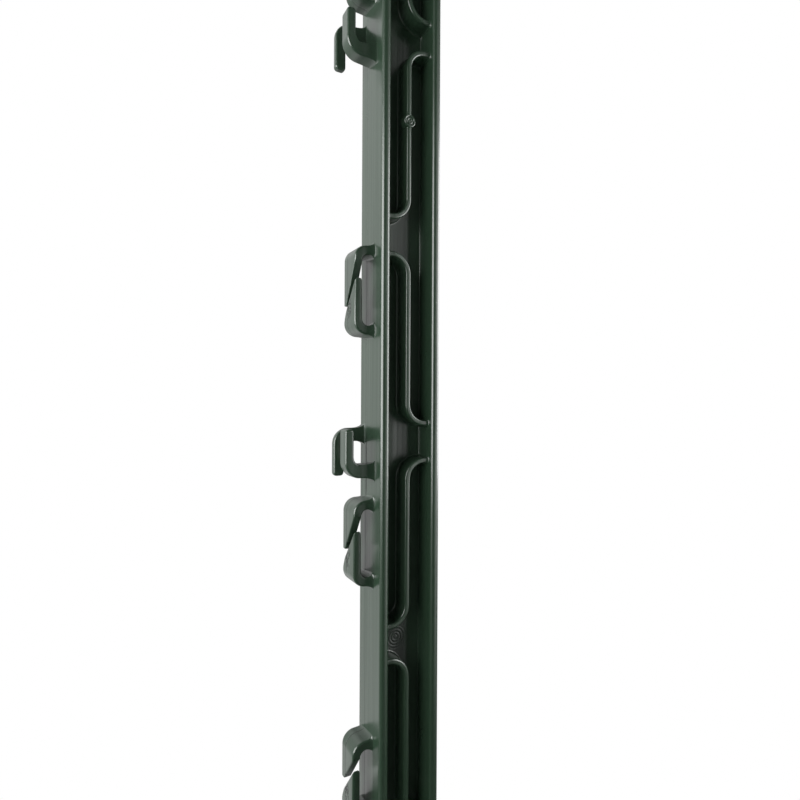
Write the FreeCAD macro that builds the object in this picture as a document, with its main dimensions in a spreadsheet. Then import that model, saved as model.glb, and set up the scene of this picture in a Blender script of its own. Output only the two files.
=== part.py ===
import FreeCAD, Part
import os
import re
import Sketcher

# Plastic step-in fence post, in millimetres.
# The origin is where the spike leaves the tread, on the spike's axis. Up is +Z,
# the deep channel of the section faces -Y and the lugs stand on the -X flange.

# Points nearer than this count as one
CLOSE = 1e-4

# Driving dimensions
SIZES = {
    # The double-T section
    "section_width": 39.8,
    "section_depth": 31.4,
    "flange_wall": 5.6,
    "flange_edge_round": 2.0,
    "web_wall": 3.0,
    "web_setback": 15.8,
    "web_root_round": 1.4,
    "post_height": 870.0,
    "cap_wall": 4.0,
    # The S-shaped stiffening ribs
    "rib_wall": 3.4,
    "rib_setback": 4.1,
    "rib_bend": 11.4,
    "rib_rear_setback": 4.1,
    "top_rib_drop": 63.0,
    # The gate boss on one rib
    "gate_drop": 44.1,
    "gate_radius": 3.9,
    "gate_proud": 0.3,
    "gate_crater_radius": 2.3,
    "gate_crater_sink": 1.0,
    # The tape clips
    "tape_gap_height": 42.6,
    "tape_arm": 5.2,
    "tape_gap": 7.8,
    "tape_fang": 5.0,
    "tape_front": 5.5,
    "tape_rear": 11.7,
    "tape_outer_round": 7.5,
    "tape_inner_round": 4.6,
    "slit_front_top": 17.5,
    "slit_front_bottom": 7.5,
    "slit_tip_rise": 8.2,
    "slit_tip_in": 3.6,
    "slit_heel_in": 2.6,
    "slit_heel_drop": 11.2,
    "slit_rear_drop": 16.7,
    # The rope hooks
    "rope_gap": 13.1,
    "rope_prong": 5.4,
    "rope_far_prong": 6.6,
    "rope_height": 29.0,
    "rope_arm": 8.0,
    "rope_outer_round": 9.5,
    "rope_inner_round": 4.6,
    "rope_tip_round": 2.1,
    "rope_front_near": 6.3,
    "rope_front_far": 3.0,
    "rope_rear_near": 9.2,
    "rope_rear_far": 13.6,
    "lug_root_round": 2.8,
    # The foot and its spike
    "tread_reach": 55.0,
    "tread_wall": 5.0,
    "tread_end_round": 8.0,
    "gusset_rise": 42.0,
    "gusset_wall": 4.0,
    "gusset_inset": 4.0,
    "socket_boss_radius": 8.0,
    "socket_boss_height": 62.0,
    "tang_radius": 3.4,
    "tang_length": 55.0,
    "spike_radius": 4.0,
    "spike_length": 180.0,
    "spike_point": 15.0,
    "spike_tip_radius": 0.8,
}

# The post's height that the next two tables are drawn for. On another post they stretch.
DRAWN_HEIGHT = 870.0

# Height of each rib's upper end and its length, the uppermost whole rib first
RIBS = {
    "rib_1": (785.0, 100.8),
    "rib_2": (664.6, 102.8),
    "rib_3": (539.2, 101.2),
    "rib_4": (415.1, 98.3),
    "rib_5": (296.0, 100.8),
    "rib_6": (172.5, 100.8),
}

# Open height below each lug, from the gussets up, and above the last one
LUG_GAPS = {
    "rope_hook_3": 68.5,
    "tape_clip_5": 60.8,
    "tape_clip_4": 83.3,
    "rope_hook_2": 11.1,
    "tape_clip_3": 56.0,
    "rope_hook_1": 108.6,
    "tape_clip_2": 10.0,
    "tape_clip_1": 67.2,
    "top": 5.5,
}
TAPE_CLIPS = [name for name in LUG_GAPS if name.startswith("tape_clip")]
ROPE_HOOKS = [name for name in LUG_GAPS if name.startswith("rope_hook")]


def make_sheet(doc):
    """The spreadsheet that every sketch and feature takes its sizes from."""
    sheet = doc.addObject("Spreadsheet::Sheet", "Sizes")
    cells = {**SIZES, "drawn_height": DRAWN_HEIGHT, **rib_cells(), **lug_cells()}
    for row, (name, value) in enumerate(cells.items(), start=1):
        sheet.set(f"A{row}", name)
        sheet.set(f"B{row}", str(value))
        sheet.setAlias(f"B{row}", name)
    doc.recompute()
    return sheet


def rib_cells():
    """The ribs keep their share of the post's height."""
    cells = {}
    for name, (top, length) in RIBS.items():
        cells[name + "_top"] = f"={top} * post_height / drawn_height"
        cells[name + "_length"] = f"={length} * post_height / drawn_height"
    return cells


def lug_cells():
    """The lugs keep their size, and the open heights between them share what is left."""
    cells = {name + "_gap": gap for name, gap in LUG_GAPS.items()}
    cells["clip_height"] = "=tape_gap_height + 2 * tape_arm"
    cells["foot_height"] = "=tread_wall + gusset_rise"
    taken = f"foot_height + {len(TAPE_CLIPS)} * clip_height + {len(ROPE_HOOKS)} * rope_height"
    cells["gap_stretch"] = f"=(post_height - ({taken})) / ({' + '.join(name + '_gap' for name in LUG_GAPS)})"
    below = "foot_height"
    for name in LUG_GAPS:
        if name != "top":
            half = "clip_height / 2" if name in TAPE_CLIPS else "rope_height / 2"
            cells[name + "_height"] = f"={below} + {name}_gap * gap_stretch + {half}"
            below = f"{name}_height + {half}"
    return cells


def size(text):
    """An expression written with bare size names, as one that reads the sheet."""
    return re.sub(r"[a-z]\w*", lambda name: "Sizes." + name.group(), text)


def plane(body, role):
    return next(f for f in body.Origin.OriginFeatures if f.Role == role)


def new_sketch(body, name, role, offset):
    """A sketch on one of the body's origin planes, moved along the plane's normal."""
    sketch = body.newObject("Sketcher::SketchObject", name)
    sketch.AttachmentSupport = [(plane(body, role), "")]
    sketch.MapMode = "FlatFace"
    sketch.setExpression("AttachmentOffset.Base.z", size(offset))
    return sketch


def bind(sketch, constraint, text):
    index = sketch.addConstraint(constraint)
    sketch.setExpression(f"Constraints[{index}]", size(text))


def number(sketch, text):
    value = sketch.evalExpression(size(text))
    return float(getattr(value, "Value", value))


def straight_outline(sketch, corners):
    """A closed outline of straight sides; corners are pairs of expressions."""
    points = [FreeCAD.Vector(number(sketch, x), number(sketch, y), 0) for x, y in corners]
    first = sketch.GeometryCount
    count = len(points)
    for i, point in enumerate(points):
        sketch.addGeometry(Part.LineSegment(point, points[(i + 1) % count]))
    for i, (x, y) in enumerate(corners):
        line = first + i
        before = first + (i - 1) % count
        sketch.addConstraint(Sketcher.Constraint("Coincident", before, 2, line, 1))
        bind(sketch, Sketcher.Constraint("DistanceX", -1, 1, line, 1, points[i].x), x)
        bind(sketch, Sketcher.Constraint("DistanceY", -1, 1, line, 1, points[i].y), y)


def square_outline(sketch, corners):
    """A closed outline of level and upright sides, with rounded corners where asked.

    Each corner is (x, y, radius), as expressions, and radius is None at a sharp one.
    """
    points = [FreeCAD.Vector(number(sketch, x), number(sketch, y), 0) for x, y, _ in corners]
    radii = [number(sketch, r) if r else 0.0 for _, _, r in corners]
    count = len(points)
    onward = [(points[(i + 1) % count] - points[i]).normalize() for i in range(count)]
    first = sketch.GeometryCount
    for i in range(count):
        j = (i + 1) % count
        start = points[i] + onward[i] * radii[i]
        end = points[j] - onward[i] * radii[j]
        sketch.addGeometry(Part.LineSegment(start, end))
    for i, (x, y, _) in enumerate(corners):
        line = first + i
        if abs(onward[i].x) > abs(onward[i].y):
            sketch.addConstraint(Sketcher.Constraint("Horizontal", line))
            bind(sketch, Sketcher.Constraint("DistanceY", -1, 1, line, 1, points[i].y), y)
        else:
            sketch.addConstraint(Sketcher.Constraint("Vertical", line))
            bind(sketch, Sketcher.Constraint("DistanceX", -1, 1, line, 1, points[i].x), x)
    for i, (_, _, radius) in enumerate(corners):
        before = first + (i - 1) % count
        line = first + i
        if radius is None:
            sketch.addConstraint(Sketcher.Constraint("Coincident", before, 2, line, 1))
        else:
            round_corner(sketch, before, line, points[i], onward[i - 1], onward[i], radius)


def round_corner(sketch, before, line, corner, coming, going, radius):
    """An arc between two sides, tangent to both, of a radius from the sheet."""
    r = number(sketch, radius)
    centre = corner - coming * r + going * r
    turns_left = coming.x * going.y - coming.y * going.x > 0
    start = corner - coming * r
    end = corner + going * r
    chord = (start + end) * 0.5 - centre
    middle = centre + chord * (r / chord.Length)
    arc = sketch.addGeometry(Part.Arc(start, middle, end))
    first_end, last_end = (1, 2) if turns_left else (2, 1)
    sketch.addConstraint(Sketcher.Constraint("Tangent", before, 2, arc, first_end))
    sketch.addConstraint(Sketcher.Constraint("Tangent", arc, last_end, line, 1))
    bind(sketch, Sketcher.Constraint("Radius", arc, r), radius)


def circle(sketch, x, y, radius):
    centre = FreeCAD.Vector(number(sketch, x), number(sketch, y), 0)
    ring = sketch.addGeometry(Part.Circle(centre, FreeCAD.Vector(0, 0, 1), number(sketch, radius)))
    bind(sketch, Sketcher.Constraint("Radius", ring, number(sketch, radius)), radius)
    for kind, value, text in (("DistanceX", centre.x, x), ("DistanceY", centre.y, y)):
        bind(sketch, Sketcher.Constraint(kind, -1, 1, ring, 3, value), text)


def extrude(body, kind, name, sketch, length, reverse=False):
    """A pad or a pocket of a sketch, with its length from the sheet."""
    feature = body.newObject("PartDesign::" + kind, name)
    feature.Profile = sketch
    feature.Type = "Length"
    feature.setExpression("Length", size(length))
    feature.Reversed = reverse
    sketch.Visibility = False
    return feature


def section(body):
    """The double-T: two flanges and the web, which lies behind the middle."""
    sketch = new_sketch(body, "section_outline", "XY_Plane", "0")
    out_x = "section_width / 2"
    in_x = "(section_width / 2 - flange_wall)"
    edge_y = "section_depth / 2"
    near_y = "(web_setback - section_depth / 2)"
    far_y = "(web_setback - section_depth / 2 + web_wall)"
    edge = "flange_edge_round"
    root = "web_root_round"
    square_outline(sketch, [
        ("-1 * " + out_x, "-1 * " + edge_y, edge),
        ("-1 * " + in_x, "-1 * " + edge_y, edge),
        ("-1 * " + in_x, near_y, root),
        (in_x, near_y, root),
        (in_x, "-1 * " + edge_y, edge),
        (out_x, "-1 * " + edge_y, edge),
        (out_x, edge_y, edge),
        (in_x, edge_y, edge),
        (in_x, far_y, root),
        ("-1 * " + in_x, far_y, root),
        ("-1 * " + in_x, edge_y, edge),
        ("-1 * " + out_x, edge_y, edge),
    ])
    extrude(body, "Pad", "section", sketch, "post_height - cap_wall")


def cap(body):
    """The closed upper end, with the section's own outline."""
    sketch = new_sketch(body, "cap_outline", "XY_Plane", "post_height - cap_wall")
    x = "section_width / 2"
    y = "section_depth / 2"
    square_outline(sketch, [
        ("-1 * " + x, "-1 * " + y, "flange_edge_round"),
        (x, "-1 * " + y, "flange_edge_round"),
        (x, y, "flange_edge_round"),
        ("-1 * " + x, y, "flange_edge_round"),
    ])
    extrude(body, "Pad", "cap", sketch, "cap_wall")


def round_edges(doc, body, name, radius, chosen):
    """A fillet on every edge that a test on its two ends picks."""
    doc.recompute()
    base = body.Tip
    names = []
    for index, edge in enumerate(base.Shape.Edges, start=1):
        ends = [v.Point for v in edge.Vertexes]
        if len(ends) == 2 and chosen(*ends):
            names.append(f"Edge{index}")
    fillet = body.newObject("PartDesign::Fillet", name)
    fillet.Base = (base, names)
    fillet.setExpression("Radius", size(radius))


def rib_outline(sketch, top, bottom, side):
    """An S between the flanges: level, round a bend, upright, round a bend, level."""
    half = "rib_wall / 2"
    reach = "(section_width / 2 - flange_wall / 2)"
    wide = "rib_bend + rib_wall / 2"
    tight = "rib_bend - rib_wall / 2"
    square_outline(sketch, [
        (f"{side} * {reach}", f"{top} + {half}", None),
        (f"-1 * {side} * {half}", f"{top} + {half}", wide),
        (f"-1 * {side} * {half}", f"{bottom} + {half}", tight),
        (f"-1 * {side} * {reach}", f"{bottom} + {half}", None),
        (f"-1 * {side} * {reach}", f"{bottom} - {half}", None),
        (f"{side} * {half}", f"{bottom} - {half}", wide),
        (f"{side} * {half}", f"{top} - {half}", tight),
        (f"{side} * {reach}", f"{top} - {half}", None),
    ])


def ribs(body):
    """S-shaped ribs that cross both channels and turn into the flanges in turn."""
    front = "section_depth / 2 - rib_setback"
    depth = "section_depth - rib_setback - rib_rear_setback"
    side = -1
    for name in RIBS:
        sketch = new_sketch(body, name + "_outline", "XZ_Plane", front)
        rib_outline(sketch, f"{name}_top", f"({name}_top - {name}_length)", side)
        extrude(body, "Pad", name, sketch, depth, reverse=True)
        side = -side
    sketch = new_sketch(body, "rib_0_outline", "XZ_Plane", front)
    half = "rib_wall / 2"
    reach = "-1 * (section_width / 2 - flange_wall / 2)"
    end = "(post_height - top_rib_drop)"
    square_outline(sketch, [
        ("-1 * " + half, "post_height - cap_wall / 2", None),
        ("-1 * " + half, f"{end} + {half}", "rib_bend - rib_wall / 2"),
        (reach, f"{end} + {half}", None),
        (reach, f"{end} - {half}", None),
        (half, f"{end} - {half}", "rib_bend + rib_wall / 2"),
        (half, "post_height - cap_wall / 2", None),
    ])
    extrude(body, "Pad", "rib_0", sketch, depth, reverse=True)


def gate(body):
    """The round boss on the second rib where the plastic came into the mould."""
    face = "section_depth / 2 - rib_setback + gate_proud"
    height = "rib_2_top - gate_drop"
    sketch = new_sketch(body, "gate_outline", "XZ_Plane", face)
    circle(sketch, "0", height, "gate_radius")
    extrude(body, "Pad", "gate", sketch, face, reverse=True)
    sketch = new_sketch(body, "gate_crater_outline", "XZ_Plane", face)
    circle(sketch, "0", height, "gate_crater_radius")
    extrude(body, "Pocket", "gate_crater", sketch, "gate_crater_sink")


def tape_clip(body, name):
    """A bracket for wide tape, closed by two fangs with a slanting slit between them."""
    middle = name + "_height"
    face = "section_width / 2"
    root = f"-1 * ({face} - flange_wall / 2)"
    inner = f"-1 * ({face} + tape_gap)"
    outer = f"-1 * ({face} + tape_gap + tape_fang)"
    low = f"{middle} - tape_gap_height / 2"
    high = f"{middle} + tape_gap_height / 2"
    sketch = new_sketch(body, name + "_outline", "XZ_Plane", "tape_front")
    square_outline(sketch, [
        (root, f"{high} + tape_arm", None),
        (outer, f"{high} + tape_arm", "tape_outer_round"),
        (outer, f"{low} - tape_arm", "tape_outer_round"),
        (root, f"{low} - tape_arm", None),
        (root, low, None),
        (inner, low, "tape_inner_round"),
        (inner, high, "tape_inner_round"),
        (root, high, None),
    ])
    extrude(body, "Pad", name, sketch, "tape_front + tape_rear", reverse=True)
    slit = new_sketch(body, name + "_slit_outline", "YZ_Plane", f"{outer} - 1")
    front = "-1 * tape_front - 1"
    straight_outline(slit, [
        (front, f"{middle} + slit_front_top"),
        ("-1 * tape_front", f"{middle} + slit_front_top"),
        ("tape_rear - slit_tip_in", f"{middle} - slit_tip_rise"),
        ("tape_rear + 1", f"{middle} - slit_tip_rise"),
        ("tape_rear + 1", f"{middle} - slit_rear_drop"),
        ("tape_rear", f"{middle} - slit_rear_drop"),
        ("tape_rear - slit_heel_in", f"{middle} - slit_heel_drop"),
        ("-1 * tape_front", f"{middle} + slit_front_bottom"),
        (front, f"{middle} + slit_front_bottom"),
    ])
    extrude(body, "Pocket", name + "_slit", slit, "tape_fang + 2", reverse=True)


def hook(body, name, middle, up, prong, near, thick):
    """One hook: an arm from the flange, a wide bend and a prong, up or down."""
    face = "section_width / 2"
    root = f"-1 * ({face} - flange_wall / 2)"
    inner = f"-1 * ({face} + rope_gap)"
    outer = f"-1 * ({face} + rope_gap + {prong})"
    heel = f"{middle} - {up} * rope_height / 2"
    arm = f"{middle} - {up} * (rope_height / 2 - rope_arm)"
    tip = f"{middle} + {up} * rope_height / 2"
    sketch = new_sketch(body, name + "_outline", "XZ_Plane", near)
    square_outline(sketch, [
        (root, heel, None),
        (outer, heel, "rope_outer_round"),
        (outer, tip, "rope_tip_round"),
        (inner, tip, "rope_tip_round"),
        (inner, arm, "rope_inner_round"),
        (root, arm, None),
    ])
    extrude(body, "Pad", name, sketch, thick, reverse=True)


def rope_hook(body, name):
    """A pair of hooks for rope: the near one opens upwards, the far one downwards."""
    middle = name + "_height"
    hook(body, name + "_near", middle, 1, "rope_prong", "rope_front_near", "rope_front_near + rope_front_far")
    hook(body, name + "_far", middle, -1, "rope_far_prong", "-1 * rope_rear_near", "rope_rear_far - rope_rear_near")


def round_lug_roots(doc, body):
    """Fillets where the arms of the lugs grow out of the flange."""
    face = -float(doc.Sizes.section_width) / 2

    def at_root(a, b):
        on_face = abs(a.x - face) < CLOSE and abs(b.x - face) < CLOSE
        level = abs(a.z - b.z) < CLOSE and abs(a.y - b.y) > 1.0
        return on_face and level and lug_near(doc, a.z)

    round_edges(doc, body, "lug_roots", "lug_root_round", at_root)


def lug_near(doc, z):
    """Whether a height is that of a lug's upper or lower arm."""
    for names, length in ((TAPE_CLIPS, doc.Sizes.clip_height), (ROPE_HOOKS, doc.Sizes.rope_height)):
        if any(abs(z - float(getattr(doc.Sizes, n + "_height"))) < float(length) / 2 + 1 for n in names):
            return True
    return False


def foot(body):
    """The tread for a boot on either side, its gussets and the boss round the spike."""
    sketch = new_sketch(body, "tread_outline", "XY_Plane", "0")
    x = "tread_reach"
    y = "section_depth / 2"
    square_outline(sketch, [
        ("-1 * " + x, "-1 * " + y, "tread_end_round"),
        (x, "-1 * " + y, "tread_end_round"),
        (x, y, "tread_end_round"),
        ("-1 * " + x, y, "tread_end_round"),
    ])
    extrude(body, "Pad", "tread", sketch, "tread_wall")
    web_middle = "(web_setback - section_depth / 2 + web_wall / 2)"
    sketch = new_sketch(body, "gusset_outline", "XZ_Plane", f"gusset_wall / 2 - {web_middle}")
    straight_outline(sketch, [
        ("gusset_inset - tread_reach", "tread_wall / 2"),
        ("tread_reach - gusset_inset", "tread_wall / 2"),
        ("tread_reach - gusset_inset", "tread_wall + gusset_wall / 2"),
        ("section_width / 2 - flange_wall / 2", "tread_wall + gusset_rise"),
        ("flange_wall / 2 - section_width / 2", "tread_wall + gusset_rise"),
        ("gusset_inset - tread_reach", "tread_wall + gusset_wall / 2"),
    ])
    extrude(body, "Pad", "gussets", sketch, "gusset_wall", reverse=True)
    sketch = new_sketch(body, "socket_boss_outline", "XY_Plane", "0")
    circle(sketch, "0", "0", "socket_boss_radius")
    extrude(body, "Pad", "socket_boss", sketch, "socket_boss_height")
    sketch = new_sketch(body, "socket_outline", "XY_Plane", "0")
    circle(sketch, "0", "0", "tang_radius")
    extrude(body, "Pocket", "socket", sketch, "tang_length", reverse=True)


def moulded_post(doc):
    body = doc.addObject("PartDesign::Body", "moulded_post")
    body.Label = "moulded_post"
    section(body)
    cap(body)
    ribs(body)
    gate(body)
    for name in TAPE_CLIPS:
        tape_clip(body, name)
    for name in ROPE_HOOKS:
        rope_hook(body, name)
    round_lug_roots(doc, body)
    foot(body)
    body.Placement = FreeCAD.Placement()
    return body


def ground_spike(doc):
    """The steel spike: a thinner tang in the post, a shoulder, a round shank and a point."""
    body = doc.addObject("PartDesign::Body", "ground_spike")
    body.Label = "ground_spike"
    sketch = new_sketch(body, "spike_outline", "XZ_Plane", "0")
    straight_outline(sketch, [
        ("0", "tang_length"),
        ("tang_radius", "tang_length"),
        ("tang_radius", "0"),
        ("spike_radius", "0"),
        ("spike_radius", "spike_point - spike_length"),
        ("spike_tip_radius", "-1 * spike_length"),
        ("0", "-1 * spike_length"),
    ])
    turn = body.newObject("PartDesign::Revolution", "spike")
    turn.Profile = sketch
    turn.ReferenceAxis = (plane(body, "Z_Axis"), [""])
    turn.Angle = 360.0
    sketch.Visibility = False
    body.Placement = FreeCAD.Placement()
    return body


def check(doc, parts):
    """Stop with a plain message if any object failed or any part isn't a sound solid."""
    failed = [o.Name for o in doc.Objects if {"Invalid", "Error"} & set(o.State)]
    if failed:
        raise SystemExit("failed objects: " + ", ".join(failed))
    for part in parts:
        if part.Shape.isNull() or not part.Shape.isValid() or len(part.Shape.Solids) != 1:
            raise SystemExit(part.Label + " isn't one sound solid")


def main():
    doc = FreeCAD.newDocument("fence_post")
    make_sheet(doc)
    parts = [moulded_post(doc), ground_spike(doc)]
    doc.recompute()
    check(doc, parts)
    os.makedirs("parts", exist_ok=True)
    for part in parts:
        part.Shape.exportStep(os.path.join("parts", part.Label + ".step"))
        box = part.Shape.BoundBox
        print(part.Label, round(part.Shape.Volume, 1), "mm3", len(part.Shape.Faces), "faces", box)


main()
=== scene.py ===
import math

import bmesh
import bpy
from mathutils import Matrix, Vector


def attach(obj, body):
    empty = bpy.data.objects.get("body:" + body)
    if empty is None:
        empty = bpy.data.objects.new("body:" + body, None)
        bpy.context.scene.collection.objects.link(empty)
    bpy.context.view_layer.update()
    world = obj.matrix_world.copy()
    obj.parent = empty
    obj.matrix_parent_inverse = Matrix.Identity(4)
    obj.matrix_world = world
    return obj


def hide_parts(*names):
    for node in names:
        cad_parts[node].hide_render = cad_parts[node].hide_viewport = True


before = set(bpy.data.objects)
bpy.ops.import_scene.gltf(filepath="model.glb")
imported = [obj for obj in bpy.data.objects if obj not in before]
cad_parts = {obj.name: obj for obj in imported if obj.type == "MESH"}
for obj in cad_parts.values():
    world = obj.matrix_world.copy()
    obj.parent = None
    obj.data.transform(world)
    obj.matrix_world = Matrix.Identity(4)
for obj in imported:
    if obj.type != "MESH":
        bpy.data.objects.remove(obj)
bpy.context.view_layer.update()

# Shapes are made in millimetres and brought to metres as they are finished.
MM = 0.001
# Points closer than this are one, and an edge this near to a face counts as on it.
TINY = 1e-4
NEAR = 0.1
# Edges sharper than this many radians are rounded.
SHARP = 0.7

# The double-T section
HALF_WIDTH = 19.9
HALF_DEPTH = 15.7
FLANGE = 5.6
FLANGE_ROUND = 2.2
WEB_FRONT = 0.1
WEB_REAR = 3.1
WEB_ROUND = 0.8
POST_BOTTOM = 0.5
POST_TOP = 870.0
CAP_WALL = 4.0
CAP_ROUND = 0.9
# How far from the middle the ribs and the lugs' arms end, inside a flange
EMBEDDED = HALF_WIDTH - FLANGE / 2 - 0.5

# The S-shaped ribs: upper end, lower end and the flange that the upper end meets
RIBS = [
    (785.0, 684.2, -1),
    (664.6, 561.8, 1),
    (539.2, 438.0, -1),
    (415.1, 316.8, 1),
    (296.0, 195.2, -1),
    (172.5, 71.7, 1),
]
TOP_RIB_END = 807.0
RIB_WALL = 3.4
RIB_BEND = 11.4
RIB_FACE = 11.6
RIB_ROUND = 1.1

# The gate: its height and radius, how deep it is rooted in the rib, the radius of each ring and of
# its bead, and the crater
GATE_HEIGHT = 620.5
GATE_RADIUS = 3.9
GATE_ROOT = 4.0
GATE_RINGS = ((3.2, 0.7), (1.5, 0.55))
CRATER_RADIUS = 0.85
CRATER_DEPTH = 2.4

# The bend inside every lug's arm
LUG_INNER_BEND = 4.6

# The tape clips: the height of each one's middle, and how far its upper arm sits lower
TAPE_CLIPS = [(838.0, 0.0), (717.8, 0.0), (517.2, 0.0), (367.6, 2.0), (226.8, 4.0)]
CLIP_HALF = 21.3
CLIP_ARM = 5.2
CLIP_INNER = -HALF_WIDTH - 7.8
CLIP_OUTER = -HALF_WIDTH - 12.8
CLIP_OUTER_BEND = 7.5
CLIP_FRONT = -5.5
CLIP_REAR = 11.7
# Where the slit ends each fang, up from the clip's middle: at the front, at a knee near the rear
# and, for the lower one, at the rear. A knee is given by its distance from the rear.
UPPER_FANG = (17.5, -8.2)
UPPER_KNEE = 3.6
LOWER_FANG = (7.5, -11.2, -16.7)
LOWER_KNEE = 2.6

# The rope hooks: the height of each one's middle, and how far its near arm sits higher
ROPE_HOOKS = [(666.8, 2.2), (420.2, 0.0), (130.0, 0.0)]
HOOK_HALF = 14.5
HOOK_ARM = 6.5
HOOK_INNER = -HALF_WIDTH - 13.1
HOOK_OUTER_BEND = 9.5
HOOK_TIP_ROUND = 2.1

# The tread with its gussets, and the boss for the spike
TREAD_REACH = 55.0
TREAD_CORNER = 8.0
TREAD_THICK = 5.0
GUSSET_REACH = 51.0
GUSSET_BOTTOM = 2.5
GUSSET_LIP = 7.0
GUSSET_PEAK = (17.1, 47.0)
GUSSET_HALF = 2.0
BOSS_RADIUS = 8.0
BOSS_BOTTOM = 0.2
BOSS_TOP = 62.0

# Marks on the surface: how deep below a face they reach and how soft their edges are, the parting
# line with the height at which its painted shade is darkest, and the rings that an ejector left on
# the web
MARK_DEPTH = 0.3
MARK_EDGE = 0.1
SEAM_Y = 5.5
SEAM_HALF = 0.55
# the height by the middle rope hook where the parting line's painted shade is darkest
SEAM_SHADE_Z = 410.5
EJECTOR_X = -1.9
EJECTOR_Z = 305.0
EJECTOR_RADIUS = 7.5


# ---------------------------------------------------------------- shaping

def outline(corners, lift, facing):
    """A flat face with rounded corners. Each corner is (across, up, radius); facing is "Y" for a
    face in the XZ plane at Y = lift, and "Z" for one in the XY plane at Z = lift."""
    bm = bmesh.new()
    rounded = {}
    verts = []
    for across, up, radius in corners:
        place = (across, lift, up) if facing == "Y" else (across, up, lift)
        vert = bm.verts.new(place)
        verts.append(vert)
        if radius:
            rounded.setdefault(radius, []).append(vert)
    bm.faces.new(verts)
    for radius, group in rounded.items():
        bmesh.ops.bevel(bm, geom=group, offset=radius, offset_type="OFFSET",
                        segments=max(5, round(radius * 1.6)), profile=0.5, affect="VERTICES",
                        clamp_overlap=False, material=-1)
    return bm


def pull(bm, move):
    """Pulls the flat face into a solid."""
    made = bmesh.ops.extrude_face_region(bm, geom=bm.faces[:])
    moved = [g for g in made["geom"] if isinstance(g, bmesh.types.BMVert)]
    bmesh.ops.translate(bm, verts=moved, vec=move)
    bmesh.ops.recalc_face_normals(bm, faces=bm.faces[:])
    return bm


def soften(bm, radius, where=lambda edge: True, clamp=True):
    """Rounds the sharp edges of a solid, as the mould leaves them."""
    sharp = [e for e in bm.edges if e.is_manifold and e.calc_face_angle() > SHARP and where(e)]
    bmesh.ops.bevel(bm, geom=sharp, offset=radius, offset_type="OFFSET", segments=3, profile=0.5,
                    affect="EDGES", clamp_overlap=clamp, material=-1)
    return bm


def cut(bm, point, normal):
    """Takes away what lies beyond a plane and closes the cut."""
    made = bmesh.ops.bisect_plane(bm, geom=bm.verts[:] + bm.edges[:] + bm.faces[:], dist=TINY,
                                  plane_co=point, plane_no=normal, clear_outer=True)
    rim = [g for g in made["geom_cut"] if isinstance(g, bmesh.types.BMEdge)]
    bmesh.ops.contextual_create(bm, geom=rim)
    bmesh.ops.recalc_face_normals(bm, faces=bm.faces[:])


def flare(bm, point, normal, length, rise, sideways=1.0, fade=0.0):
    """Spreads a solid towards a wall that it grows out of: point is on the wall and normal leaves
    it. The spread starts at a length from the wall and grows to its rise there; sideways is its
    share in Y, and fade the part of it that is lost by the rear. It goes on a little behind the
    wall."""
    normal = Vector(normal)
    point = Vector(point)
    steps = 5
    behind = 1.6
    for k in range(steps + 1):
        away = length * (1 - math.cos(math.pi / 2 * k / steps))
        bmesh.ops.bisect_plane(bm, geom=bm.verts[:] + bm.edges[:] + bm.faces[:], dist=TINY,
                               plane_co=point + normal * away, plane_no=normal)
    bm.normal_update()
    front = min(v.co.y for v in bm.verts)
    deep = max(v.co.y for v in bm.verts) - front
    moves = []
    for vert in bm.verts:
        away = (vert.co - point).dot(normal)
        flat = vert.normal - normal * vert.normal.dot(normal)
        if away > length - 1e-3 or away < -behind or flat.length < 0.5:
            continue
        left = 1 - max(away, 0.0) / length
        move = flat.normalized() * rise * (1 - math.sqrt(max(0.0, 1 - left ** 2)))
        move *= 1 - fade * (vert.co.y - front) / deep
        move.y *= sideways
        moves.append((vert, move))
    for vert, move in moves:
        vert.co += move
        vert.co.y = min(vert.co.y, HALF_DEPTH - FLANGE_ROUND)
        vert.co.z = min(vert.co.z, POST_TOP - 0.5)
    return bm


def merged(shapes):
    """Several solids in one bmesh."""
    whole = bmesh.new()
    for bm in shapes:
        mesh = bpy.data.meshes.new("part")
        bm.to_mesh(mesh)
        bm.free()
        whole.from_mesh(mesh)
        bpy.data.meshes.remove(mesh)
    return whole


def finished(bm, name):
    """An object at the origin, in metres."""
    bmesh.ops.scale(bm, verts=bm.verts[:], vec=(MM, MM, MM))
    mesh = bpy.data.meshes.new(name)
    bm.to_mesh(mesh)
    bm.free()
    piece = bpy.data.objects.new(name, mesh)
    bpy.context.collection.objects.link(piece)
    return piece


# ---------------------------------------------------------------- the moulding

def double_t():
    """The two flanges and the web between them."""
    out_x, in_x, y = HALF_WIDTH, HALF_WIDTH - FLANGE, HALF_DEPTH
    bm = outline([
        (-out_x, -y, FLANGE_ROUND), (-in_x, -y, FLANGE_ROUND),
        (-in_x, WEB_FRONT, WEB_ROUND), (in_x, WEB_FRONT, WEB_ROUND),
        (in_x, -y, FLANGE_ROUND), (out_x, -y, FLANGE_ROUND),
        (out_x, y, FLANGE_ROUND), (in_x, y, FLANGE_ROUND),
        (in_x, WEB_REAR, WEB_ROUND), (-in_x, WEB_REAR, WEB_ROUND),
        (-in_x, y, FLANGE_ROUND), (-out_x, y, FLANGE_ROUND),
    ], POST_BOTTOM, "Z")
    return pull(bm, (0, 0, POST_TOP - CAP_WALL))


def plate(half_x, half_y, corner, bottom, thick):
    """A flat plate with round corners."""
    bm = outline([(-half_x, -half_y, corner), (half_x, -half_y, corner),
                  (half_x, half_y, corner), (-half_x, half_y, corner)], bottom, "Z")
    return pull(bm, (0, 0, thick))


def cap():
    """The closed upper end."""
    bm = plate(HALF_WIDTH, HALF_DEPTH, FLANGE_ROUND, POST_TOP - CAP_WALL, CAP_WALL)
    return soften(bm, CAP_ROUND, lambda e: min(v.co.z for v in e.verts) > POST_TOP - NEAR)


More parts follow.
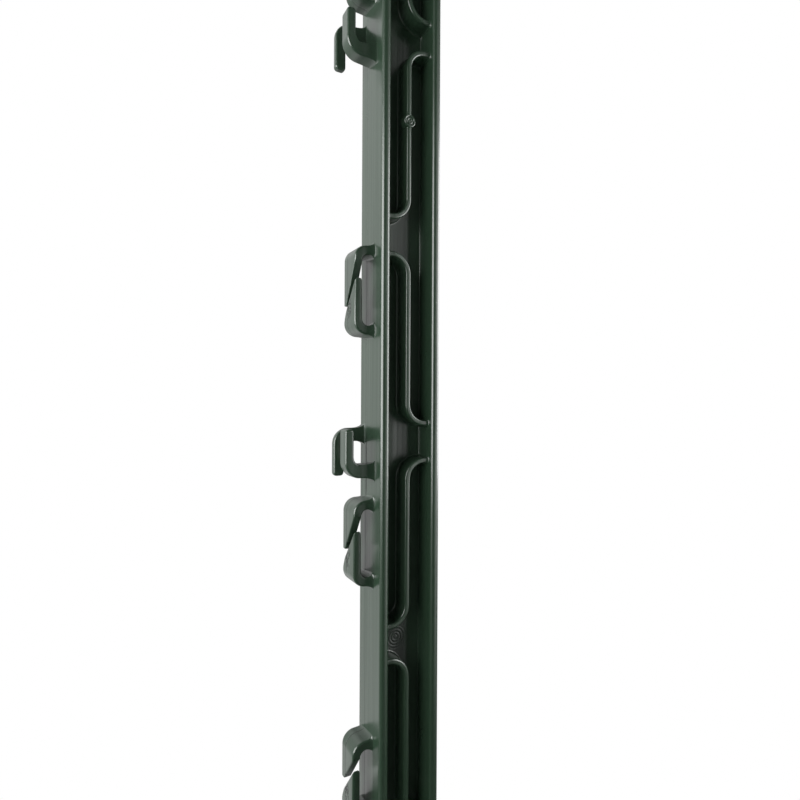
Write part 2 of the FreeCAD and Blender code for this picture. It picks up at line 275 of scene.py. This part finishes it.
def on_rim(edge):
    """Whether an edge is on a rib's open face, clear of the flanges and the closed end."""
    return (min(abs(v.co.y) for v in edge.verts) > RIB_FACE - NEAR
            and min(abs(v.co.x) for v in edge.verts) < EMBEDDED - NEAR
            and min(v.co.z for v in edge.verts) < POST_TOP - 3)


def raised(corners, flanges):
    """A rib on both faces of the web, from its outline. It spreads towards the web, and towards the
    flanges on the sides given."""
    bm = pull(outline(corners, -RIB_FACE, "Y"), (0, 2 * RIB_FACE, 0))
    soften(bm, RIB_ROUND, on_rim, clamp=False)
    for y, way in ((WEB_FRONT, -1), (WEB_REAR, 1)):
        flare(bm, (0, y, 0), (0, way, 0), length=1.2, rise=1.2)
    for side in flanges:
        flare(bm, (side * (HALF_WIDTH - FLANGE), 0, 0), (-side, 0, 0), length=1.6, rise=1.3,
              sideways=0.6)
    return bm


def rib(top, bottom, side):
    """One S: level from a flange, upright between two bends, level to the other flange."""
    half = RIB_WALL / 2
    reach = EMBEDDED
    wide, tight = RIB_BEND + half, RIB_BEND - half
    return raised([
        (side * reach, top + half, 0), (-side * half, top + half, wide),
        (-side * half, bottom + half, tight), (-side * reach, bottom + half, 0),
        (-side * reach, bottom - half, 0), (side * half, bottom - half, wide),
        (side * half, top - half, tight), (side * reach, top - half, 0),
    ], (1, -1))


def top_rib():
    """The rib that runs up into the closed end."""
    half = RIB_WALL / 2
    end = TOP_RIB_END
    top = POST_TOP - 2
    return raised([
        (-half, top, 0), (-half, end + half, RIB_BEND - half), (-EMBEDDED, end + half, 0),
        (-EMBEDDED, end - half, 0), (half, end - half, RIB_BEND + half), (half, top, 0),
    ], (-1,))


def gate():
    """The round boss where the plastic came in, with its crater."""
    bm = bmesh.new()
    rings = [(middle + radius * math.cos(math.radians(t)), -radius * math.sin(math.radians(t)))
             for middle, radius in GATE_RINGS for t in range(0, 181, 20)]
    profile = [(0.0, GATE_ROOT), (GATE_RADIUS, GATE_ROOT)] + rings
    profile += [(CRATER_RADIUS, CRATER_DEPTH), (0.0, CRATER_DEPTH)]
    verts = [bm.verts.new((x, y - RIB_FACE, 0.0)) for x, y in profile]
    edges = [bm.edges.new(pair) for pair in zip(verts, verts[1:])]
    bmesh.ops.spin(bm, geom=verts + edges, cent=(0, 0, 0), axis=(0, 1, 0), angle=2 * math.pi,
                   steps=40, use_merge=True)
    bmesh.ops.remove_doubles(bm, verts=bm.verts[:], dist=TINY)
    bmesh.ops.recalc_face_normals(bm, faces=bm.faces[:])
    bmesh.ops.translate(bm, verts=bm.verts[:], vec=(0, 0, GATE_HEIGHT))
    return bm


def on_fang(edge):
    """Whether an edge is on a clip's fang, clear of its arm."""
    return max(v.co.x for v in edge.verts) < CLIP_INNER + NEAR


def slit_upper(bm, middle, lower):
    """Ends the upper fang at the slit. It is shorter where its arm sits lower."""
    start, tip = UPPER_FANG[0] - lower, UPPER_FANG[1] + 0.85 * lower
    slope = Vector((0, CLIP_REAR - UPPER_KNEE - CLIP_FRONT, tip - start))
    cut(bm, (0, CLIP_FRONT, middle + start), (0, slope.z, -slope.y))
    cut(bm, (0, 0, middle + tip), (0, 0, -1))
    soften(bm, 0.7, on_fang, clamp=False)


def slit_lower(bm, middle):
    """Ends the lower fang at the slit, with a steeper end at the rear."""
    start, knee, tip = LOWER_FANG
    slope = Vector((0, CLIP_REAR - LOWER_KNEE - CLIP_FRONT, knee - start))
    cut(bm, (0, CLIP_FRONT, middle + start), (0, -slope.z, slope.y))
    slope = Vector((0, LOWER_KNEE, tip - knee))
    cut(bm, (0, CLIP_REAR, middle + tip), (0, -slope.z, slope.y))
    soften(bm, 1.5, on_fang, clamp=False)


def tape_clip(middle, lower):
    """A bracket for wide tape. Its two fangs leave a slanting slit between them."""
    shapes = []
    for end in (1, -1):
        arm_in = middle + end * CLIP_HALF - (lower if end == 1 else 0)
        arm_out = arm_in + end * CLIP_ARM
        tip = middle - end * CLIP_HALF
        bm = outline([
            (-EMBEDDED, arm_out, 0), (CLIP_OUTER, arm_out, CLIP_OUTER_BEND),
            (CLIP_OUTER, tip, 0), (CLIP_INNER, tip, 0),
            (CLIP_INNER, arm_in, LUG_INNER_BEND), (-EMBEDDED, arm_in, 0),
        ], CLIP_FRONT, "Y")
        pull(bm, (0, CLIP_REAR - CLIP_FRONT, 0))
        soften(bm, 1.3, lambda e: e.verts[0].co.y == e.verts[1].co.y, clamp=False)
        if end == 1:
            slit_upper(bm, middle, lower)
        else:
            slit_lower(bm, middle)
        flare(bm, (-HALF_WIDTH, 0, 0), (-1, 0, 0), length=6.5, rise=3.0, sideways=0.3, fade=0.8)
        shapes.append(bm)
    return merged(shapes)


def hook(middle, up, lift, prong, near, far, fade):
    """One hook from a near to a far face: up is the way it opens, lift how far its arm sits higher,
    prong the thickness of its end and fade that of its root's spread."""
    outer = HOOK_INNER - prong
    heel = middle - up * HOOK_HALF + lift
    arm = middle - up * HOOK_ARM + lift
    tip = middle + up * HOOK_HALF
    bm = outline([
        (-EMBEDDED, heel, 0), (outer, heel, HOOK_OUTER_BEND), (outer, tip, HOOK_TIP_ROUND),
        (HOOK_INNER, tip, HOOK_TIP_ROUND), (HOOK_INNER, arm, LUG_INNER_BEND), (-EMBEDDED, arm, 0),
    ], near, "Y")
    pull(bm, (0, far - near, 0))
    soften(bm, 1.2, lambda e: max(v.co.x for v in e.verts) < -EMBEDDED - NEAR, clamp=False)
    return flare(bm, (-HALF_WIDTH, 0, 0), (-1, 0, 0), length=7.0, rise=3.3, sideways=0.3, fade=fade)


def rope_hook(middle, higher):
    """A near hook that opens upwards and a far one that opens downwards."""
    return merged([
        hook(middle, 1, higher, prong=5.4, near=-6.3, far=3.0, fade=0.8),
        hook(middle, -1, 0.0, prong=6.6, near=9.2, far=13.6, fade=0.0),
    ])


def tread():
    """The plate for a boot on either side."""
    return soften(plate(TREAD_REACH, HALF_DEPTH, TREAD_CORNER, 0.0, TREAD_THICK), 0.9)


def gussets():
    """The webs that carry the load of the tread into the post."""
    reach = GUSSET_REACH
    peak, top = GUSSET_PEAK
    bm = outline([
        (-reach, GUSSET_BOTTOM, 0), (reach, GUSSET_BOTTOM, 0), (reach, GUSSET_LIP, 0),
        (peak, top, 0), (-peak, top, 0), (-reach, GUSSET_LIP, 0),
    ], (WEB_FRONT + WEB_REAR) / 2 - GUSSET_HALF, "Y")
    pull(bm, (0, 2 * GUSSET_HALF, 0))
    soften(bm, 0.7)
    return flare(bm, (0, 0, TREAD_THICK), (0, 0, 1), length=1.4, rise=1.4)


def socket_boss():
    """The round boss that the spike's tang sits in."""
    bm = bmesh.new()
    bmesh.ops.create_circle(bm, cap_ends=True, radius=BOSS_RADIUS, segments=48,
                            matrix=Matrix.Translation((0, 0, BOSS_BOTTOM)))
    pull(bm, (0, 0, BOSS_TOP - BOSS_BOTTOM))
    soften(bm, 1.0, lambda e: min(v.co.z for v in e.verts) > BOSS_TOP - NEAR)
    return flare(bm, (0, 0, TREAD_THICK), (0, 0, 1), length=2.0, rise=2.0)


def joined(base, other):
    """Melts one closed shape into another."""
    melt = base.modifiers.new("melt", "BOOLEAN")
    melt.operation = "UNION"
    melt.solver = "MANIFOLD"
    melt.object = other
    shape = base.evaluated_get(bpy.context.evaluated_depsgraph_get())
    mesh = bpy.data.meshes.new_from_object(shape)
    base.modifiers.clear()
    old = base.data
    base.data = mesh
    bpy.data.meshes.remove(old)
    bpy.data.objects.remove(other)


def moulding():
    """The whole post as one shell."""
    post = finished(double_t(), "post")
    lugs = [tape_clip(*place) for place in TAPE_CLIPS] + [rope_hook(*place) for place in ROPE_HOOKS]
    ribs = [rib(*place) for place in RIBS]
    joined(post, finished(merged(ribs + lugs + [tread()]), "lugs"))
    joined(post, finished(merged([cap(), gate(), gussets()]), "ends"))
    joined(post, finished(merged([top_rib(), socket_boss()]), "more"))
    return post


post = moulding()
post.data.shade_smooth()
post.data.set_sharp_from_angle(angle=math.radians(32))
even = post.modifiers.new("even", "WEIGHTED_NORMAL")
even.keep_sharp = True
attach(post, "root")
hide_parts("moulded_post")


# ---------------------------------------------------------------- finishes

GREEN_LOW = (0.019, 0.041, 0.023, 1)
GREEN_HIGH = (0.026, 0.052, 0.031, 1)
# Near black for the painted shade on the parting line and in the burrs' cracks
PAINTED_SHADE_COLOUR = (0.003, 0.006, 0.004, 1)
SPECK_COLOUR = (0.42, 0.46, 0.42, 1)
STEEL_LOW = (0.42, 0.43, 0.44, 1)
STEEL_HIGH = (0.60, 0.61, 0.62, 1)
BLACK = (0, 0, 0, 1)
WHITE = (1, 1, 1, 1)
# The sockets of a Mix node's two colours, and of its result
COLOUR_A, COLOUR_B, COLOUR_OUT = 6, 7, 2


class Shade:
    """A value in a tree of nodes that arithmetic works on."""

    def __init__(self, tree, socket=None):
        self.tree = tree
        self.socket = socket

    def node(self, kind, sockets, output=0, **settings):
        """A node of that kind: its settings come first, then the values or links of its sockets."""
        made = self.tree.nodes.new(kind)
        for name, value in settings.items():
            setattr(made, name, value)
        for name, value in sockets.items():
            if isinstance(value, Shade):
                self.tree.links.new(value.socket, made.inputs[name])
            else:
                made.inputs[name].default_value = value
        return Shade(self.tree, made.outputs[output])

    def shown(self, kind="ShaderNodeOutputMaterial"):
        """Makes this shader the one that the tree shows."""
        out = self.tree.nodes.new(kind)
        self.tree.links.new(self.socket, out.inputs["Surface"])

    def maths(self, operation, first, second=0.0):
        return self.node("ShaderNodeMath", {0: first, 1: second}, operation=operation)

    def __add__(self, other):
        return self.maths("ADD", self, other)

    __radd__ = __add__

    def __sub__(self, other):
        return self.maths("SUBTRACT", self, other)

    def __rsub__(self, other):
        return self.maths("SUBTRACT", other, self)

    def __mul__(self, other):
        return self.maths("MULTIPLY", self, other)

    __rmul__ = __mul__

    def size(self):
        return self.maths("ABSOLUTE", self)

    def root(self):
        return self.maths("SQRT", self)

    def above(self, edge, soft):
        """0 below an edge and 1 above it, over a soft width."""
        return self.node("ShaderNodeMapRange", {"Value": self, "From Min": edge - soft,
                                                "From Max": edge + soft})

    def between(self, low, high, **settings):
        """A colour between two, by this value."""
        return self.node("ShaderNodeMix", {"Factor": self, COLOUR_A: low, COLOUR_B: high},
                         output=COLOUR_OUT, data_type="RGBA", **settings)

    def light(self):
        """White light of this strength."""
        return self.between(BLACK, WHITE, clamp_factor=False)

    def ray(self, kind):
        """1 for the rays of a kind, Camera or Glossy, and 0 for others."""
        return self.node("ShaderNodeLightPath", {}, output=f"Is {kind} Ray")

    def place(self, output="Object"):
        return self.node("ShaderNodeTexCoord", {}, output=output)

    def axes(self):
        """The X, Y and Z of this vector."""
        return [self.node("ShaderNodeSeparateXYZ", {"Vector": self}, output=axis) for axis in "XYZ"]

    def stretched(self, scale):
        return self.node("ShaderNodeMapping", {"Vector": self, "Scale": scale})

    def noise(self, scale, detail):
        return self.node("ShaderNodeTexNoise", {"Vector": self, "Scale": scale, "Detail": detail},
                         output="Fac")

    def cells(self, scale, output):
        return self.node("ShaderNodeTexVoronoi", {"Vector": self, "Scale": scale}, output=output)

    def red(self):
        """The red of this colour, as a value for each cell."""
        return self.node("ShaderNodeSeparateColor", {"Color": self}, output="Red")


def new_material(name):
    material = bpy.data.materials.new(name)
    material.use_nodes = True
    material.node_tree.nodes.clear()
    return material, Shade(material.node_tree)


def green_plastic():
    """Dark green polypropylene as it leaves the mould, with painted shade along its parting line
    and in its burrs' cracks.
    """
    material, shade = new_material("dark_green_polypropylene")
    place = shade.place()
    x, y, z = place.axes()
    cloud = place.noise(30.0, 3.0)
    fine = place.noise(900.0, 2.0)
    wave = place.stretched((1, 1, 0.03)).noise(160.0, 2.0)
    # the mould's parting line down the outer face that carries the lugs
    edge = MARK_EDGE * MM
    outside = ((MARK_DEPTH - HALF_WIDTH) * MM - x).above(0.0, edge)
    seam = outside * (SEAM_HALF * MM - (y - SEAM_Y * MM).size()).above(0.0, edge)
    # the rings that an ejector left on the web
    ring_x = x - EJECTOR_X * MM
    ring_z = z - EJECTOR_Z * MM
    ring = (ring_x * ring_x + ring_z * ring_z).root()
    on_web = (MARK_DEPTH * MM - (y - WEB_FRONT * MM).size()).above(0.0, edge)
    ripple = shade.maths("SINE", 3400.0 * ring)
    rings = on_web * (EJECTOR_RADIUS * MM - ring).above(0.0, 0.0015) * ripple
    # a ragged burr beside each slit, and painted shade along the parting line: faint all along,
    # darker inside the clips and darkest at one height by the middle rope hook
    torn = place.noise(380.0, 3.0)
    ragged = place.stretched((1, 1.6, 0.8))
    burr = 0.0
    # how strong the painted shade on the parting line is, by height
    seam_shade = 0.1 + 0.9 * (0.017 - (z - SEAM_SHADE_Z * MM).size()).above(0.0, 0.005)
    for middle, _ in TAPE_CLIPS:
        beside = (-0.0327, 0.0051, 0.8 * (middle - 9.5) * MM)
        spot = shade.node("ShaderNodeVectorMath", {0: ragged, 1: beside}, output="Value",
                          operation="DISTANCE")
        burr = burr + (0.0045 - spot + 0.008 * (torn - 0.5)).above(0.0, 0.0018)
        seam_shade = seam_shade + 0.3 * (0.021 - (z - middle * MM).size()).above(0.0, 0.004)
    # a few pale specks
    chosen = place.cells(230.0, "Color").red().above(0.992, 0.001)
    speck = chosen * (0.09 - place.cells(230.0, "Distance")).above(0.0, 0.02)

    # painted shade in the dark veins of each burr's cracks
    crack_shade = burr * (0.05 - (torn - 0.5).size()).above(0.0, 0.02)
    # all the painted shade: near black, and as metal without coat so that it reflects almost
    # nothing
    painted_shade = (seam * seam_shade + crack_shade).above(0.5, 0.5)
    base = cloud.between(GREEN_LOW, GREEN_HIGH)
    base = painted_shade.between(base, PAINTED_SHADE_COLOUR)
    base = speck.between(base, SPECK_COLOUR)
    rough = 0.24 + 0.08 * cloud + 0.03 * fine
    grain = shade.node("ShaderNodeBump", {"Height": fine, "Strength": 0.06, "Distance": 0.0002})
    relief = 0.5 * wave + 0.07 * rings - 0.15 * seam + 2.4 * burr * (torn - 0.5)
    bumpy = shade.node("ShaderNodeBump", {"Height": relief, "Strength": 1.0, "Distance": 0.0006,
                                          "Normal": grain})
    shade.node("ShaderNodeBsdfPrincipled", {
        "Base Color": base, "Roughness": rough, "Normal": bumpy, "Specular IOR Level": 0.9,
        "Metallic": painted_shade, "Coat Weight": 0.5 - 0.5 * painted_shade, "Coat Roughness": 0.2,
    }).shown()
    return material


def spike_steel():
    """Galvanised steel, drawn along its length."""
    material, shade = new_material("galvanised_steel")
    place = shade.place()
    grain = place.stretched((1, 1, 0.08)).noise(900.0, 4.0)
    level = place.cells(260.0, "Color").red()
    base = (0.6 * level + 0.4 * grain).between(STEEL_LOW, STEEL_HIGH)
    bump = shade.node("ShaderNodeBump", {"Height": grain, "Strength": 0.15, "Distance": 0.0002})
    shade.node("ShaderNodeBsdfPrincipled", {
        "Base Color": base, "Roughness": 0.3 + 0.2 * level, "Normal": bump, "Metallic": 1.0,
    }).shown()
    return material


post.data.materials.clear()
post.data.materials.append(green_plastic())
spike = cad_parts["ground_spike"]
spike.material_slots[0].material = spike_steel()


# ---------------------------------------------------------------- stage

# The floor, in millimetres
FLOOR_LEVEL = -181
FLOOR_HALF = 6000
# The camera and the softboxes, in metres
EYE_LEVEL = 0.452
LAMP_LEVEL = 0.67
PANEL_WIDTH = 1.2
PANEL_HEIGHT = 0.83
# How bright the room is
WALL_LIGHT = 0.85
CARD_LIGHT = 1.6
AIR_LIGHT = 0.04


def room(direction):
    """How bright the room is in a direction: a bright wall behind the post, and one pale card in
    front."""
    across, along, up = direction.axes()
    wall = 0.35 + 0.65 * across.above(-0.5, 0.4) - 0.65 * across.above(0.05, 0.25)
    behind = along.above(0.1, 0.25) * wall
    card = (-1.7 * along - across).above(0.0, 0.05) * (across + 0.58 * along).above(0.0, 0.05)
    return WALL_LIGHT * behind, CARD_LIGHT * card * (0.5 - up).above(0.0, 0.08)


def white_floor():
    """White to the camera, with the shadow. In the post's gloss it has the wall's and the card's
    light."""
    material, shade = new_material("white_floor")
    camera = shade.ray("Camera")
    glossy = shade.ray("Glossy")
    place = shade.place()
    away = shade.node("ShaderNodeVectorMath", {0: place}, output="Value", operation="LENGTH")
    direction = shade.node("ShaderNodeVectorMath", {0: place}, output="Vector",
                           operation="NORMALIZE")
    behind, card = room(direction)
    level = shade.maths("MAXIMUM", camera, behind + card * away.above(1.28, 0.6))
    glow = shade.node("ShaderNodeEmission", {"Color": level.light()})
    matt = shade.node("ShaderNodeBsdfDiffuse", {"Color": (0.85, 0.85, 0.85, 1)})
    far = shade.node("ShaderNodeMapRange", {"Value": away, "From Min": 0.25, "From Max": 0.5,
                                            "To Min": 0.75})
    glows = shade.maths("MAXIMUM", far * camera, glossy)
    shade.node("ShaderNodeMixShader", {0: glows, 1: matt, 2: glow}).shown()
    return material


bm = bmesh.new()
bmesh.ops.create_grid(bm, x_segments=1, y_segments=1, size=FLOOR_HALF,
                      matrix=Matrix.Translation((0, 0, FLOOR_LEVEL)))
floor = finished(bm, "floor")
floor.data.materials.append(white_floor())

world = bpy.data.worlds.new("white_room")
bpy.context.scene.world = world
world.use_nodes = True
world.node_tree.nodes.clear()
air = Shade(world.node_tree)
behind, card = room(air.place("Generated"))
level = air.maths("MAXIMUM", AIR_LIGHT + behind + card * air.ray("Glossy"), air.ray("Camera"))
air.node("ShaderNodeBackground", {"Color": level.light()}).shown("ShaderNodeOutputWorld")


def softbox(name, x, y, power):
    """A tall panel beside the camera that draws a light along the rounded edges."""
    lamp = bpy.data.lights.new(name, "AREA")
    lamp.shape = "RECTANGLE"
    lamp.size = PANEL_WIDTH
    lamp.size_y = PANEL_HEIGHT
    lamp.energy = power
    holder = bpy.data.objects.new(name, lamp)
    bpy.context.collection.objects.link(holder)
    holder.location = (x, y, LAMP_LEVEL)
    aim = Vector((0, 0, LAMP_LEVEL)) - Vector((x, y, LAMP_LEVEL))
    holder.rotation_euler = aim.to_track_quat("-Z", "Y").to_euler()


softbox("left_softbox", -0.985, -0.174, 17.2)
softbox("right_softbox", 0.978, -0.208, 16.3)

lens = bpy.data.cameras.new("camera")
lens.sensor_width = 36.0
lens.lens = 24.705
lens.clip_start = 0.01
lens.shift_x = 0.0006
camera = bpy.data.objects.new("camera", lens)
bpy.context.collection.objects.link(camera)
camera.location = (-0.1604, -0.3019, EYE_LEVEL)
# It looks level from 28 degrees to the left, with the slight lean that the photo has.
aim = Matrix.Rotation(math.radians(-28), 3, "Z") @ Matrix.Rotation(math.radians(90), 3, "X")
camera.rotation_euler = (aim @ Matrix.Rotation(math.radians(0.28), 3, "Z")).to_euler()
bpy.context.scene.camera = camera
bpy.context.scene.view_settings.view_transform = "Standard"
